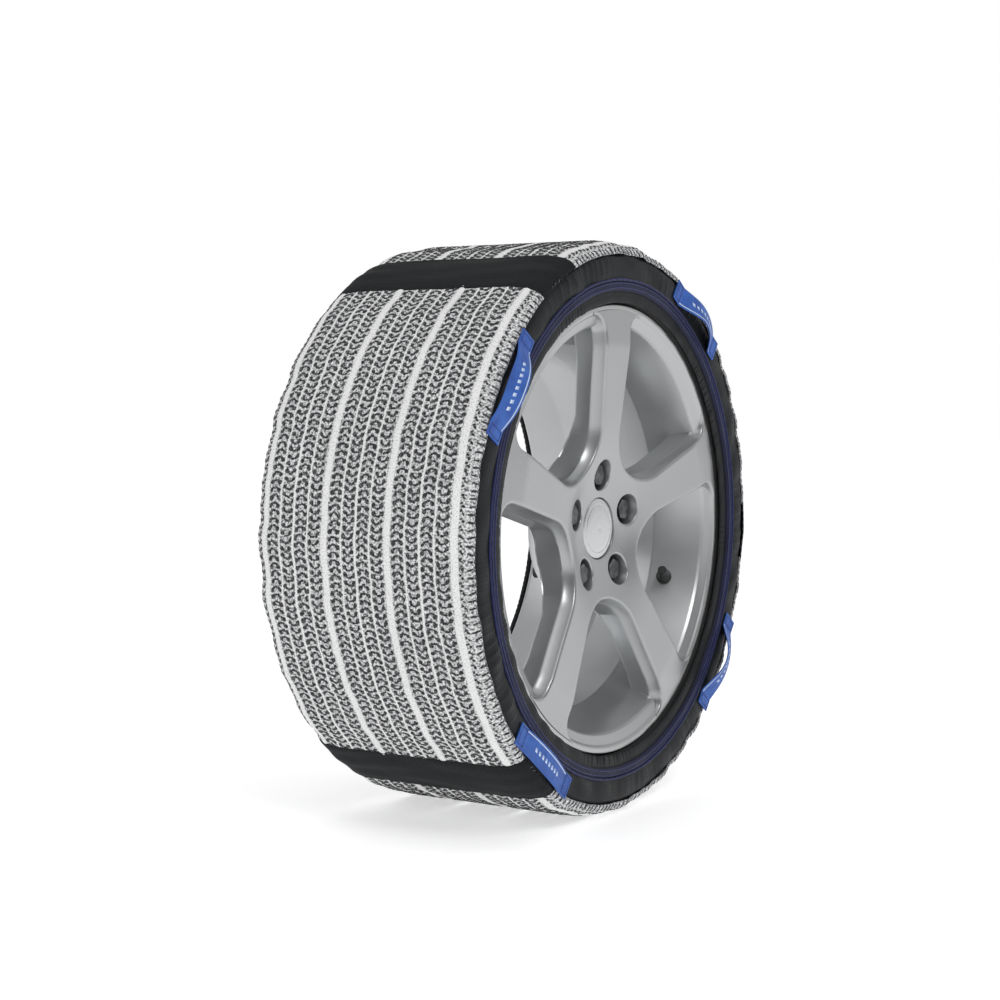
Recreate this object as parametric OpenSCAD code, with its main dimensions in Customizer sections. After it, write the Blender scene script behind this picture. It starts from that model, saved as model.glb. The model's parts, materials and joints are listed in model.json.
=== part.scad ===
// A textile snow sock stretched over a low-profile tyre on a five-spoke alloy wheel.
// The wheel's axis runs along Y, its outboard face looks along -Y, and Z is up.
// The origin is the centre of the hub's mounting face, on the wheel's axis.
// Profiles are lists of [radius, y], with y counted from the wheel's middle plane.

/* [Wheel] */
// Distance from the hub's mounting face to the wheel's middle plane
wheel_offset = 55; // [45:1:60]
// Number of spokes, with one wheel bolt in line with each
spoke_count = 5; // [5]
// Radius of the bead seats
seat_r = 231; // [231]
// Radius of the rim flanges
flange_r = 248.5; // [248.5]
// Half of the wheel's width over its flanges
flange_y = 127; // [127]
// Radius of the hub's centre bore
bore_r = 36.3; // [33:0.1:37]

/* [Wheel bolts] */
// Diameter of the circle that the wheel bolts stand on
bolt_circle_d = 120; // [118:0.5:122]
// Thread diameter of a wheel bolt
bolt_d = 14; // [12:1:14]
// Distance across the flats of a bolt's head
bolt_head_af = 21; // [17:1:22]
// Radius of the pocket round a bolt's head
pocket_r = 17; // [16:0.5:18]
// How far a bolt's thread stands out of the mounting face
bolt_reach = 15; // [12:1:32]

/* [Centre cap] */
// Radius of the centre cap's face
cap_r = 34; // [33:0.5:35]
// How far the cap's face lies behind the flange's outer face
cap_depth = 26; // [25:0.5:28]

/* [Valve] */
// Position of the valve round the wheel, clockwise from the top spoke
valve_clock = 110; // [95:0.2:115]

/* [Tyre] */
// Radius of the tyre over its tread
tyre_r = 314.35; // [314.35]
// Half of the tyre's section width
tyre_half_w = 126.5; // [126.5]
// Depth of the grooves round the tread
groove_depth = 7; // [5:0.5:7.5]

/* [Sock] */
// Thickness of the knitted textile
knit_t = 2.2; // [1.8:0.1:2.6]
// Thickness of the smooth bands that join the knitted pieces
band_t = 3; // [2.6:0.1:3.4]
// Thickness of the side fabric
side_t = 2; // [1.5:0.1:2.2]
// Radial gap between the tyre's tread and the textile
fit_gap = 0.55; // [0.4:0.05:0.8]
// Angle that a band covers
band_arc = 13.4; // [10:0.2:16]
// How much the textile is pressed flat where the wheel stands on it
contact_press = 1.65; // [1.5:0.05:1.7]

/* [Handles] */
// Radius of the circle that the handles are sewn on
handle_r = 288.5; // [287:0.5:290]
// Width of the handle webbing
webbing_w = 25; // [20:1:26]
// Thickness of the handle webbing
webbing_t = 2.4; // [2:0.1:3]
// Half of the handle's span between its sewn ends
handle_half_span = 48; // [46:1:52]

/* [Hidden] */
$fn = 96;

spoke_step = 360 / spoke_count;
bolt_circle_r = bolt_circle_d / 2;
pad_y = -wheel_offset;
cap_face_y = cap_depth - flange_y;
textile_r = tyre_r + fit_gap;
floor_z = -(textile_r + knit_t - contact_press);

// ---------- placing ----------

// Puts what is drawn about the wheel's middle plane into the object's frame.
module on_wheel() translate([0, wheel_offset, 0]) children();

// Turns what points along +Z to a clock angle, clockwise as seen from outboard.
module clock(angle) rotate([0, angle, 0]) children();

// Turns what points along +X to an angle counter-clockwise as seen from outboard.
module round_axis(angle) rotate([0, -angle, 0]) children();

// A solid of revolution about the wheel's axis, over an arc that ends at the +X direction.
module turned(profile, arc = 360) rotate([-90, 0, 0]) rotate_extrude(angle = arc) polygon(profile);

// A round ring of cord about the wheel's axis.
module ring(ring_r, y, cord_r)
    rotate([-90, 0, 0]) rotate_extrude() translate([ring_r, y]) circle(r = cord_r, $fn = 32);

// A round bar along the wheel's axis, from y0 to y1.
module bar(r, y0, y1) translate([0, y0, 0]) rotate([-90, 0, 0]) cylinder(r = r, h = y1 - y0);

// ---------- outlines ----------

function unit(v) = v / norm(v);
function right_of(v) = [v.y, -v.x];
function step(path, i) = unit(path[i + 1] - path[i]);
function heading(path, i) =
    i == 0 ? step(path, 0)
    : i == len(path) - 1 ? step(path, i - 1)
    : unit(step(path, i - 1) + step(path, i));
function shifted(path, d) = [for (i = [0:len(path) - 1]) path[i] + d * right_of(heading(path, i))];
function reversed(path) = [for (i = [len(path) - 1:-1:0]) path[i]];
// The closed outline of a sheet of thickness t that lies on the right of a path.
function sheet(path, t) = concat(shifted(path, t), reversed(path));
// A half outline and its mirror image across the middle plane.
function both_sides(half) =
    concat(half, [for (i = [len(half) - 2:-1:1]) [half[i].x, -half[i].y]]);

// The two ends of the straight line that touches circles a and b, each [x, y, r], on its right.
function tangent(a, b) =
    let (d = [b.x - a.x, b.y - a.y])
    let (turn = atan2(d.y, d.x) - acos((a.z - b.z) / norm(d)))
    let (n = [cos(turn), sin(turn)])
    [[a.x, a.y] + a.z * n, [b.x, b.y] + b.z * n];

// A convex outline with round corners, given as circles in counter-clockwise order.
module rounded(corners) {
    last = len(corners) - 1;
    polygon([for (i = [0:last]) each tangent(corners[i], corners[i == last ? 0 : i + 1])]);
    for (c = corners) translate([c.x, c.y]) circle(r = c.z);
}

// ---------- wheel ----------

lip_r = 236;
cone_start = [229, -119];
cone_end = [205, -62];
function cone_r(y) =
    cone_start.x + (y - cone_start.y) * (cone_end.x - cone_start.x) / (cone_end.y - cone_start.y);

// The rim is one casting, held as two solids of revolution that meet in its well.
well_r = 205;
well_outer_r = 211;
rim_split_y = -30;
rim_outboard_profile = [
    [flange_r, -125.5], [flange_r - 1.2, -flange_y], [lip_r + 1, -flange_y], [lip_r, 1 - flange_y],
    cone_start, cone_end, [well_r, rim_split_y], [well_outer_r, rim_split_y], [well_outer_r, -58],
    [221, -82], [229.5, -87], [seat_r, -88], [232.3, -92], [seat_r, -96], [seat_r, -114.3],
    [240, -114.3], [246, -116.5], [flange_r, -120]
];
rim_inboard_profile = [
    [well_r, rim_split_y], [well_r, -4], [225.5, 64], [225.5, 117], [lip_r, 124], [lip_r + 2, flange_y],
    [flange_r - 1.2, flange_y], [flange_r, 125.5], [flange_r, 120], [246, 116.5], [240, 114.3],
    [seat_r, 114.3], [seat_r, 96], [232.3, 92], [seat_r, 88], [seat_r, 70], [well_outer_r, 2],
    [well_outer_r, rim_split_y]
];

// Hub and spokes: a dished face, with its back stepping out to the mounting pad.
hub_r = 84;
spoke_back_y = -90;
cap_leg_bore_r = 30;
cap_floor_y = cap_face_y + 5.5;
face_profile = [
    [cap_leg_bore_r, cap_floor_y], [cap_r + 0.6, cap_floor_y], [cap_r + 0.6, cap_face_y + 0.5],
    [38, cap_face_y - 0.6], [bolt_circle_r, -105.8], [90, -113.5], [120, -118], [160, -121],
    [204, -124.5], [lip_r - 3.2, -122.8], cone_start, [cone_r(spoke_back_y), spoke_back_y],
    [190, -92], [130, -87], [90, -72], [78, pad_y + 2], [76, pad_y], [bore_r, pad_y],
    [bore_r, pad_y - 18], [cap_leg_bore_r, pad_y - 24]
];

// A window between two spokes: [across, out] from the axis, at the middle of the window.
window_corners = [[0, 140, 61], [86, 199.3, 20], [-86, 199.3, 20]];
window_edge_r = lip_r + 1;
window_edge = [[0, 140], [93.9, 217.6], [93.9, 300], [-93.9, 300], [-93.9, 217.6]];

module window_outline() {
    rounded(window_corners);
    intersection() {
        circle(r = window_edge_r);
        polygon(window_edge);
    }
}

module window_cut()
    rotate([90, 0, 0]) translate([0, 0, 40]) linear_extrude(120) window_outline();

bolt_seat_y = pad_y - 15;
bolt_hole_r = bolt_d / 2 + 0.75;

module bolt_hole() translate([0, 0, bolt_circle_r]) {
    bar(pocket_r, -flange_y - 5, bolt_seat_y);
    bar(bolt_hole_r, -flange_y, pad_y + 1);
}

module rim_outboard() color("silver") on_wheel() difference() {
    turned(rim_outboard_profile);
    at_valve() cylinder(r = valve_hole_r, h = 60, center = true);
}

module rim_inboard() color("silver") on_wheel() turned(rim_inboard_profile);

module windowed_face() difference() {
    turned(face_profile);
    for (k = [0:spoke_count - 1]) clock((k + 0.5) * spoke_step) window_cut();
}

module wheel_hub() color("silver") on_wheel() difference() {
    intersection() {
        windowed_face();
        bar(hub_r, -flange_y - 5, pad_y + 5);
    }
    for (k = [0:spoke_count - 1]) clock(k * spoke_step) bolt_hole();
}

module wheel_spokes() color("silver") on_wheel() difference() {
    windowed_face();
    bar(hub_r, -flange_y - 5, pad_y + 5);
}

// ---------- centre cap ----------

cap_leg_r = cap_leg_bore_r - 0.4;
cap_profile = [
    [0, cap_face_y - 1.2], [14, cap_face_y - 1], [26, cap_face_y - 0.2], [32.6, cap_face_y + 0.8],
    [cap_r, cap_face_y + 2.2], [cap_r, cap_floor_y - 0.2], [cap_leg_r, cap_floor_y - 0.2],
    [cap_leg_r, cap_floor_y + 13], [27.4, cap_floor_y + 13], [27.4, cap_floor_y - 1], [0, cap_floor_y - 1]
];

module center_cap() color("lightgray") on_wheel() turned(cap_profile);

module cap_retaining_ring() color("dimgray") on_wheel() ring(26.3, cap_floor_y + 9, 1);

// ---------- wheel bolts ----------

bolt_flange_r = 12.8;
bolt_flange_h = 3;
bolt_head_h = 31;
// The plain shank is thinner than the thread, which starts just past the mounting face.
bolt_shank_r = bolt_d / 2 - 0.4;
thread_start_y = pad_y + 1;

module wheel_bolt() translate([0, 0, bolt_circle_r]) {
    bar(bolt_shank_r, bolt_seat_y, thread_start_y);
    bar(bolt_d / 2, thread_start_y, pad_y + bolt_reach);
    bar(bolt_flange_r, bolt_seat_y - bolt_flange_h, bolt_seat_y);
    translate([0, bolt_seat_y - bolt_head_h, 0]) rotate([-90, 0, 0])
        cylinder(d = bolt_head_af / cos(30), h = bolt_head_h - 1, $fn = 6);
}

module wheel_bolts() color("gray") on_wheel()
    for (k = [0:spoke_count - 1]) clock(k * spoke_step) wheel_bolt();

// ---------- valve ----------

valve_y = -79;
valve_hole_r = 5.9;
valve_tilt = atan2(cone_start.x - cone_end.x, cone_end.y - cone_start.y);

// +Z points out of the valve's mouth, square to the barrel's cone, from where the valve sits on it.
module at_valve() clock(valve_clock) translate([0, valve_y, cone_r(valve_y)])
    rotate([180 - valve_tilt, 0, 0]) children();

module lathe(profile) rotate_extrude() polygon(profile);

stem_r = 3.85;
stem_bore_r = 1.9;
stem_top = 33;
body_bore_r = stem_r + 0.05;

module valve_body() color("black") on_wheel() at_valve() lathe([
    [body_bore_r, -13], [7.2, -13], [8.6, -8.2], [5.7, -7.8], [5.7, 0.5], [9.2, 0.5], [9.2, 3],
    [7, 9], [5.6, 22], [body_bore_r, 22]
]);

module valve_stem() color("goldenrod") on_wheel() at_valve() lathe([
    [stem_bore_r, -15], [stem_r, -15], [stem_r, stem_top], [stem_bore_r, stem_top]
]);

module valve_core() color("gold") on_wheel() at_valve() lathe([
    [0, 12], [1.2, 12], [1.8, 15], [1.8, 31], [0.8, 31.4], [0.8, 32.6], [0, 32.6]
]);

module valve_cap() color("black") on_wheel() at_valve() lathe([
    [stem_r + 0.35, 22.6], [5.4, 22.6], [5.4, 35.2], [4.4, 36.6], [0, 36.6], [0, 34], [stem_r + 0.35, 34]
]);

// ---------- tyre ----------

// From the middle of the tread down the sidewall to the bead, and back up inside the casing.
tyre_half = [
    [tyre_r, 0], [314.2, 55], [313.6, 83], [312.2, 97], [309, 107], [303, 115], [293, 121.5],
    [282, 125.3], [272, tyre_half_w], [263, 126], [256, 125], [251.5, 122.2], [249.4, 118],
    [246.5, 115.2], [240.3, 113.6], [seat_r + 0.6, 113.4], [seat_r + 0.6, 95],
    [236, 93], [245, 99], [254, 106.5], [263, 112.5], [274, 115.5], [286, 113.8], [295, 107],
    [300.5, 96], [302.8, 80], [303.4, 40], [303.5, 0]
];
groove_half_w = 4.5;
groove_places = [-72, -26, 26, 72];

module tyre() color([0.08, 0.08, 0.08]) on_wheel() difference() {
    turned(both_sides(tyre_half));
    for (y = groove_places) turned([
        [tyre_r - groove_depth, y - groove_half_w + 1], [tyre_r + 1, y - groove_half_w],
        [tyre_r + 1, y + groove_half_w], [tyre_r - groove_depth, y + groove_half_w - 1]
    ]);
}

// ---------- sock: tread ----------

// The textile's inner face over the outboard shoulder, from its sewn edge to the crown.
shoulder_path = [[303.5, -131.4], [307, -128.8], [310.4, -123], [312.5, -115], [313.1, -104]];
shoulder_t = 2.2;
crown_edges = [-105.5, 112];
// Middles of the bands, counter-clockwise from +X, and the knitted pieces between them.
band_places = [118, 233.5, 356];

// The floor that the lowest part of the textile is pressed flat on.
module floor_cut() translate([-100, -300, floor_z - 50]) cube([200, 600, 50]);

// The straight part of the textile tube, over an arc.
module crown(thickness, arc) turned([
    [textile_r, crown_edges[0]], [textile_r + thickness, crown_edges[0]],
    [textile_r + thickness, crown_edges[1]], [textile_r, crown_edges[1]]
], arc);

// The part of the textile that turns in over the outboard shoulder.
module shoulder(arc) turned(sheet(shoulder_path, shoulder_t), arc);

module knitted_piece(from, to) color("lightgray") on_wheel() {
    turn = to - band_arc / 2;
    arc = to - from - band_arc;
    difference() {
        round_axis(turn) crown(knit_t, arc);
        floor_cut();
    }
    round_axis(turn) shoulder(arc);
}

module seam_band(middle) color([0.12, 0.12, 0.12]) on_wheel() round_axis(middle + band_arc / 2) {
    crown(band_t, band_arc);
    shoulder(band_arc);
}

module tread_fabric_left() knitted_piece(band_places[0], band_places[1]);
module tread_fabric_bottom() knitted_piece(band_places[1], band_places[2]);
module tread_fabric_right() knitted_piece(band_places[2], band_places[0] + 360);
module seam_band_top() seam_band(band_places[0]);
module seam_band_bottom() seam_band(band_places[1]);
module seam_band_right() seam_band(band_places[2]);

// ---------- sock: outer side ----------

side_face_y = -131.8;
outer_panel_path = [[276.4, -129.9], [278.8, -131.2], [282, side_face_y], [298.5, side_face_y], [300.6, -131.4]];
hem_channel = [269, -130.2];
channel_r = 2.4;
elastic_r = 2.1;

module outer_edge_binding() color([0.3, 0.3, 0.3]) on_wheel() ring(302.05, -132.3, 1.2);

module outer_side_panel() color([0.1, 0.1, 0.1]) on_wheel() turned(sheet(outer_panel_path, side_t));

module outer_hem() color("midnightblue") on_wheel() difference() {
    turned([
        [264.5, -133.2], [273.5, -133.2], [274.5, -132.2], [274.5, -128.2], [273.5, -127.2],
        [264.5, -127.2], [263.5, -128.2], [263.5, -132.2]
    ]);
    ring(hem_channel.x, hem_channel.y, channel_r);
}

module outer_elastic_cord() color("white") on_wheel() ring(hem_channel.x, hem_channel.y, elastic_r);

module outer_piping() color("navy") on_wheel() ring(274, -134.9, 1.6);

module outer_ruffle() color([0.1, 0.1, 0.1]) on_wheel()
    turned(sheet([[250.5, -128.4], [256, -128.8], [263.2, -129.6]], side_t));

// ---------- sock: inner side ----------

inner_panel_path = [
    [312.4, 115.2], [311, 123], [306, 130], [297, 134.5], [286, 136.5], [262, 136.6], [252.4, 135.6]
];
inner_hem_at = [247, 134.5];

module inner_edge_binding() color([0.3, 0.3, 0.3]) on_wheel() ring(313.4, 113.6, 1.2);

module inner_side_panel() color([0.1, 0.1, 0.1]) on_wheel() turned(sheet(inner_panel_path, side_t));

module inner_hem() color([0.1, 0.1, 0.1]) on_wheel() difference() {
    ring(inner_hem_at.x, inner_hem_at.y, 4.6);
    ring(inner_hem_at.x, inner_hem_at.y, channel_r);
}

module inner_elastic_cord() color("white") on_wheel() ring(inner_hem_at.x, inner_hem_at.y, elastic_r);

// ---------- sock: handles ----------

side_outer_y = side_face_y - side_t;
// Middles of the handles, counter-clockwise from +X, and how high each one stands off the side fabric.
handle_places = [54.5, 146.5, 232.5, 322.5];
handle_rises = [14, 12, 8, 15];
// Height that the webbing has where its sewn root ends and its free loop begins.
root_rise = 6.2;
root_gap = 0.5;
tab_end = handle_half_span + 14;

function arch_r(number) =
    (pow(handle_half_span, 2) + pow(handle_rises[number - 1], 2)) / (2 * handle_rises[number - 1]);
function arch_depth(number) = arch_r(number) - handle_rises[number - 1];
function free_half(number) = sqrt(pow(arch_r(number), 2) - pow(arch_depth(number) + root_rise, 2));

// In a handle's own frame +X points out from the axis, Z runs along the handle and -Y is outboard.
module at_handle(number)
    round_axis(handle_places[number - 1]) translate([handle_r, side_outer_y, 0]) children();

// The whole arch of webbing, cut off just above the side fabric.
module webbing_arch(number) intersection() {
    translate([-webbing_w / 2, arch_depth(number), 0]) rotate([0, 90, 0]) difference() {
        cylinder(r = arch_r(number) + webbing_t / 2, h = webbing_w);
        translate([0, 0, -1]) cylinder(r = arch_r(number) - webbing_t / 2, h = webbing_w + 2);
    }
    translate([-webbing_w, -40.1, -tab_end]) cube([2 * webbing_w, 40, 2 * tab_end]);
}

// A slab across the handle, between two distances from its middle.
module span(near, far) translate([-webbing_w, -60, near]) cube([2 * webbing_w, 120, far - near]);

module handle_tab(number) {
    intersection() {
        webbing_arch(number);
        span(free_half(number) + root_gap, tab_end);
    }
    translate([-webbing_w / 2, -webbing_t - 0.1, handle_half_span - 1.5])
        cube([webbing_w, webbing_t, tab_end - handle_half_span]);
}

module handle_tabs(number) color([0.19, 0.39, 0.75]) on_wheel() at_handle(number) {
    handle_tab(number);
    mirror([0, 0, 1]) handle_tab(number);
}

module handle_loop(number) color([0.19, 0.39, 0.75]) on_wheel() at_handle(number) intersection() {
    webbing_arch(number);
    span(-free_half(number), free_half(number));
}

rim_outboard();
rim_inboard();
wheel_hub();
wheel_spokes();
center_cap();
cap_retaining_ring();
wheel_bolts();
valve_body();
valve_stem();
valve_core();
valve_cap();
tyre();
tread_fabric_left();
tread_fabric_bottom();
tread_fabric_right();
seam_band_top();
seam_band_bottom();
seam_band_right();
outer_edge_binding();
outer_side_panel();
outer_hem();
outer_elastic_cord();
outer_piping();
outer_ruffle();
inner_edge_binding();
inner_side_panel();
inner_hem();
inner_elastic_cord();
handle_tabs(1);  // handle_1_tabs
handle_loop(1);  // handle_1_loop
handle_tabs(2);  // handle_2_tabs
handle_loop(2);  // handle_2_loop
handle_tabs(3);  // handle_3_tabs
handle_loop(3);  // handle_3_loop
handle_tabs(4);  // handle_4_tabs
handle_loop(4);  // handle_4_loop
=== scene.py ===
"""A textile snow sock on a five-spoke alloy wheel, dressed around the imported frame."""
import json
import math

import bmesh
import bpy
import numpy as np
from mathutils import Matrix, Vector

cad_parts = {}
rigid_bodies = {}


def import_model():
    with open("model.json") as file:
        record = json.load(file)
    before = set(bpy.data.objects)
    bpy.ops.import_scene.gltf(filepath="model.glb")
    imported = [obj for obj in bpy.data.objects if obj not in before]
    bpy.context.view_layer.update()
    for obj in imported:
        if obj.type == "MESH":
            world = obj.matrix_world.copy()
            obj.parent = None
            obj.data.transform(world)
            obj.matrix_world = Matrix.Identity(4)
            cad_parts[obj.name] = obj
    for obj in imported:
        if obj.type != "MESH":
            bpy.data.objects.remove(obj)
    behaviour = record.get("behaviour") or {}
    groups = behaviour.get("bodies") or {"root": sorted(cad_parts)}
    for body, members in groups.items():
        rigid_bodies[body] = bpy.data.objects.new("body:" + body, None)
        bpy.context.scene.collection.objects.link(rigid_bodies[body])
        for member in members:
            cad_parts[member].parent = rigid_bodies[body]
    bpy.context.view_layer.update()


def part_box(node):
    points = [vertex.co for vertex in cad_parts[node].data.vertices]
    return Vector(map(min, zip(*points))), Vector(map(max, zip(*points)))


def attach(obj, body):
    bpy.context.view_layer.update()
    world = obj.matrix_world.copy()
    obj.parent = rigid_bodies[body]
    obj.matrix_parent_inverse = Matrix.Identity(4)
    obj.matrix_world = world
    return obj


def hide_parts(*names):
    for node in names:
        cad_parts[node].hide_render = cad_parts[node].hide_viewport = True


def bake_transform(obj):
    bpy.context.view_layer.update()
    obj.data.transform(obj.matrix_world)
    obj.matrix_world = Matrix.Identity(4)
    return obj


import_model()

MM = 0.001
TAU = 2 * math.pi
tyre_low, tyre_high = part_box("tyre")
MID = (tyre_low.y + tyre_high.y) / 2
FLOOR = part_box("tread_fabric_bottom")[0].z
BAND_PLACES = [math.radians(a) for a in (118.0, 233.5, 356.0)]
BAND_HALF = math.radians(6.7)
HANDLE_PLACES = [math.radians(a) for a in (54.5, 146.5, 232.5, 322.5)]


# ---------- materials ----------

class Graph:
    """A short way to write a node tree: each call adds a node and sets or links its inputs."""

    def __init__(self, tree):
        self.tree = tree

    def link(self, source, node, socket):
        if isinstance(source, (int, float, tuple)):
            node.inputs[socket].default_value = source
        else:
            self.tree.links.new(source, node.inputs[socket])

    def node(self, kind, output, **inputs):
        """Adds a node, fills its inputs by name, and returns one of its outputs."""
        node = self.tree.nodes.new("ShaderNode" + kind)
        for socket, source in inputs.items():
            self.link(source, node, socket.replace("_", " "))
        return node.outputs[output]

    def math(self, operation, a, b=0.0):
        node = self.tree.nodes.new("ShaderNodeMath")
        node.operation = operation
        self.link(a, node, 0)
        self.link(b, node, 1)
        return node.outputs[0]

    def ramp(self, value, low, high, to_low=0.0, to_high=1.0):
        return self.node("MapRange", "Result", Value=value, From_Min=low, From_Max=high,
                         To_Min=to_low, To_Max=to_high)


class Material(Graph):
    """A Principled material, with constant values for its sockets and nodes added by name."""

    def __init__(self, name, colour, roughness, **sockets):
        self.material = bpy.data.materials.new(name)
        self.material.use_nodes = True
        super().__init__(self.material.node_tree)
        self.shader = self.tree.nodes["Principled BSDF"]
        self.shader.inputs["Base Color"].default_value = (*colour, 1)
        self.shader.inputs["Roughness"].default_value = roughness
        for socket, value in sockets.items():
            self.shader.inputs[socket.replace("_", " ")].default_value = value

    def coords(self, kind="Object"):
        return self.tree.nodes.new("ShaderNodeTexCoord").outputs[kind]

    def noise(self, vector, scale, detail=3.0, roughness=0.5):
        return self.node("TexNoise", "Fac", Vector=vector, Scale=scale, Detail=detail, Roughness=roughness)

    def threads(self, vector, pitch, direction, distortion=0.0):
        """Rounded ridges `pitch` metres apart. The wave texture's own period is 1/20 of a unit."""
        wave = self.node("TexWave", "Fac", Vector=vector, Scale=1 / pitch / 20, Distortion=distortion)
        wave.node.bands_direction = direction
        return wave

    def mix(self, factor, a, b):
        node = self.tree.nodes.new("ShaderNodeMix")
        node.data_type = "RGBA"
        self.link(factor, node, 0)
        for index, colour in ((6, a), (7, b)):
            self.link((*colour, 1) if isinstance(colour, tuple) else colour, node, index)
        return node.outputs[2]

    def colour(self, source):
        self.link(source, self.shader, "Base Color")

    def rough(self, source):
        self.link(source, self.shader, "Roughness")

    def bump(self, height, distance, strength):
        normal = self.node("Bump", "Normal", Strength=strength, Distance=distance, Height=height)
        self.link(normal, self.shader, "Normal")


def yarn(name, light, dark, pitch, roughness=0.9, sheen=0.3, mottle=0.5, gap_shade=(900.0, 0.3, 0.75)):
    """Knitted or twisted yarn: fine slanted plies over a slow change of tone. UVs are metres.
    fuzzy is the scale of the painted shade in the gaps between fibres, and the range of noise it fades
    over."""
    n = Material(name, light, roughness, Sheen_Weight=sheen, Sheen_Roughness=0.5, Specular_IOR_Level=0.2)
    uv = n.coords("UV")
    plies = n.threads(uv, pitch, "DIAGONAL", 0.4)
    fibre_gaps = n.noise(uv, gap_shade[0], 2.0)
    tone = n.noise(n.coords(), 14.0, 4.0)
    # painted shade: the yarn darkens towards its dark colour in the gaps between fibres, over a random slow
    # change of tone
    shade = n.math("MULTIPLY", n.ramp(fibre_gaps, *gap_shade[1:]), n.ramp(tone, 0.25, 0.7, mottle, 1.0))
    n.colour(n.mix(shade, dark, light))
    n.bump(n.math("ADD", plies, n.math("MULTIPLY", fibre_gaps, 0.8)), 0.0004, 0.6)
    return n.material


def woven(name, base, worn, thread, roughness=0.62, sheen=0.25, crinkle=0.0):
    """A plain weave of threads `thread` metres apart, with worn tones and small crinkles."""
    n = Material(name, base, roughness, Sheen_Weight=sheen, Sheen_Roughness=0.4, Specular_IOR_Level=0.22)
    uv = n.coords("UV")
    warp = n.threads(uv, thread, "X")
    weft = n.threads(uv, thread, "Y")
    weave = n.math("MULTIPLY", warp, weft)
    tone = n.noise(n.coords(), 22.0, 5.0)
    dust = n.noise(n.coords(), 160.0, 3.0)
    wear = n.math("MULTIPLY", n.ramp(tone, 0.35, 0.75), n.ramp(dust, 0.2, 0.8, 0.4, 1.0))
    n.colour(n.mix(wear, base, worn))
    n.rough(n.ramp(tone, 0.3, 0.7, roughness - 0.08, roughness + 0.1))
    folds = n.math("MULTIPLY", n.noise(n.coords(), 60.0, 4.0, 0.6), crinkle)
    n.bump(n.math("ADD", weave, folds), 0.0003, 0.5)
    return n.material


def lacquer(name, colour, dark, roughness=0.3):
    """Silver wheel lacquer under clear coat, with a faint cloud of brake dust."""
    n = Material(name, colour, roughness, Metallic=0.82, Coat_Weight=0.25, Coat_Roughness=0.12)
    cloud = n.noise(n.coords(), 18.0, 4.0)
    n.colour(n.mix(n.ramp(cloud, 0.2, 0.6, 0.7, 0.95), dark, colour))
    n.rough(n.ramp(cloud, 0.25, 0.75, roughness - 0.05, roughness + 0.09))
    return n.material


def rubber(name, colour, dusty, roughness=0.7, scale=240.0):
    """Matt rubber with a fine grain, dusty in patches."""
    n = Material(name, colour, roughness)
    grain = n.noise(n.coords(), scale * 5, 3.0)
    cloud = n.noise(n.coords(), 30.0, 5.0)
    n.colour(n.mix(n.ramp(cloud, 0.45, 0.8), colour, dusty))
    n.rough(n.ramp(cloud, 0.3, 0.7, roughness - 0.1, roughness + 0.1))
    n.bump(grain, 0.0001, 0.5)
    return n.material


def metal(name, colour, dark, roughness, brushed=(1, 1, 1)):
    """Bare or plated metal with fine streaks, stretched by `brushed`, and dark spots."""
    n = Material(name, colour, roughness, Metallic=0.95)
    stretched = n.node("Mapping", "Vector", Vector=n.coords(), Scale=brushed)
    streak = n.noise(stretched, 900.0, 2.0)
    spots = n.noise(n.coords(), 120.0, 5.0)
    n.colour(n.mix(n.ramp(spots, 0.35, 0.7), dark, colour))
    n.rough(n.ramp(streak, 0.3, 0.7, roughness - 0.1, roughness + 0.12))
    n.bump(streak, 0.00005, 0.4)
    return n.material


def webbing(name):
    """Blue webbing with cross ribs, a pale edge yarn on one side, and a row of plain slanted dashes.
    U runs along the strap and V across it from its outer edge, in metres."""
    n = Material(name, (0.028, 0.12, 0.5), 0.6, Sheen_Weight=0.08, Sheen_Roughness=0.4)
    uv = n.coords("UV")
    split = n.tree.nodes.new("ShaderNodeSeparateXYZ")
    n.link(uv, split, 0)
    u, v = split.outputs[0], split.outputs[1]
    ribs = n.threads(uv, 0.0016, "X")
    rows = n.threads(uv, 0.0011, "Y")

    def band(value, centre, half):
        return n.math("LESS_THAN", n.math("ABSOLUTE", n.math("SUBTRACT", value, centre)), half)

    slanted = n.math("FRACT", n.math("DIVIDE", n.math("ADD", u, n.math("MULTIPLY", v, 0.35)), 0.0075))
    dash = n.math("MULTIPLY", band(v, 0.0125, 0.0021), band(slanted, 0.5, 0.25))
    dash = n.math("MULTIPLY", dash, band(u, 0.062, 0.030))
    edge = n.math("MULTIPLY", band(v, 0.0222, 0.0007), band(u, 0.062, 0.047))
    tone = n.noise(n.coords(), 70.0, 4.0)
    blue = n.mix(n.ramp(tone, 0.3, 0.75), (0.016, 0.070, 0.33), (0.034, 0.135, 0.50))
    mark = n.math("MULTIPLY", n.math("MAXIMUM", dash, edge), n.ramp(rows, 0.0, 0.6, 0.55, 1.0))
    n.colour(n.mix(mark, blue, (0.62, 0.74, 0.9)))
    n.bump(n.math("ADD", n.math("MULTIPLY", ribs, rows), n.math("MULTIPLY", mark, 0.8)), 0.0003, 0.6)
    return n.material


def floor_white():
    """A pale floor that glows a little, so that it stays white in the picture."""
    n = Material("floor_white", (0.93, 0.93, 0.93), 0.9, Emission_Strength=0.43,
                 Emission_Color=(1, 1, 1, 1))
    n.colour(n.mix(n.ramp(n.noise(n.coords(), 3.0), 0.3, 0.7), (0.925, 0.925, 0.93), (0.94, 0.94, 0.94)))
    return n.material


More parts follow.
